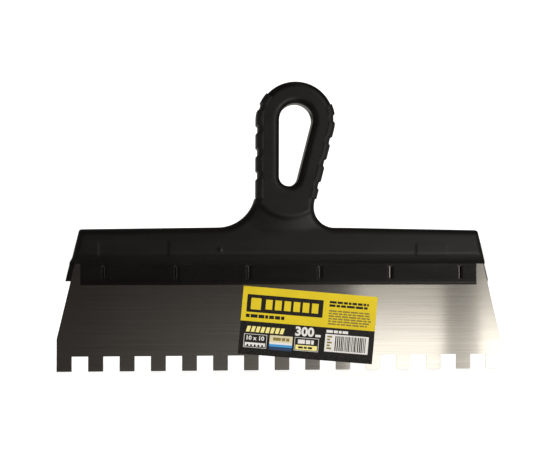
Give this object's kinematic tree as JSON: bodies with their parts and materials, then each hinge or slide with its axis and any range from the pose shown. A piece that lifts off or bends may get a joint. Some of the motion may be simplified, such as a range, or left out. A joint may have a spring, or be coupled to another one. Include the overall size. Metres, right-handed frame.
{
  "type": "notched trowel",
  "caption": "Notched trowel: a thin steel blade with square teeth along its edge, held in a plastic bar with a closed loop handle, for spreading and combing adhesive.",
  "frame": {"origin": "middle of the line of tooth tips, on the mid-plane of the blade", "axes": "+X along the blade towards the side the handle leans to, -Y towards the labelled front, +Z from the tooth tips to the handle"},
  "size_m": [0.3, 0.018, 0.194],
  "materials": {
    "steel": "brushed along the blade",
    "plastic": "satin moulded black",
    "grip_rubber": "matte soft black",
    "label": "printed yellow and black"
  },
  "bodies": {
    "root": {"notched_blade": "steel", "handle_moulding": "plastic", "grip_pad_left": "grip_rubber", "grip_pad_right": "grip_rubber", "size_label": "label"}
  },
  "joints": []
}
